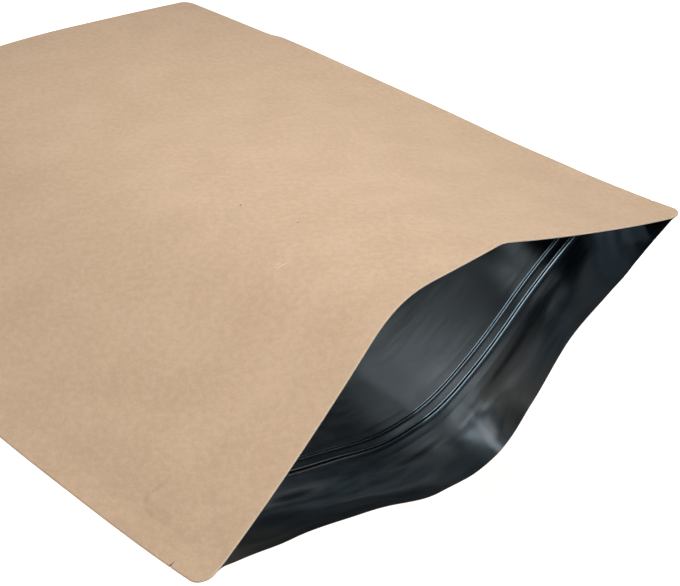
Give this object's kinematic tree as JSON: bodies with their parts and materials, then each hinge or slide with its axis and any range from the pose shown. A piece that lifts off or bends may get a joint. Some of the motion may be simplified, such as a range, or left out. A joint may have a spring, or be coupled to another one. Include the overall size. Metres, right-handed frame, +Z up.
{
  "type": "kraft stand-up pouch",
  "caption": "Empty kraft paper stand-up pouch with a black film lining, a folded bottom gusset and a press-to-close zip, lying on its back with the mouth held open.",
  "frame": {"origin": "on the floor, under the middle of the pouch's bounding box", "axes": "+Z up out of the front web, +Y from the open mouth to the bottom edge, +X along the mouth from one side seal to the other"},
  "size_m": [0.2996, 0.3448, 0.1065],
  "materials": {
    "kraft_paper": "natural brown kraft paper with fine fibres, uncoated and matt",
    "black_film": "black heat-sealing film, satin, with soft creases"
  },
  "bodies": {
    "root": {"front_web": "kraft_paper", "back_web": "kraft_paper", "bottom_gusset": "kraft_paper", "zip_track_front": "black_film", "zip_track_back": "black_film"}
  },
  "joints": []
}
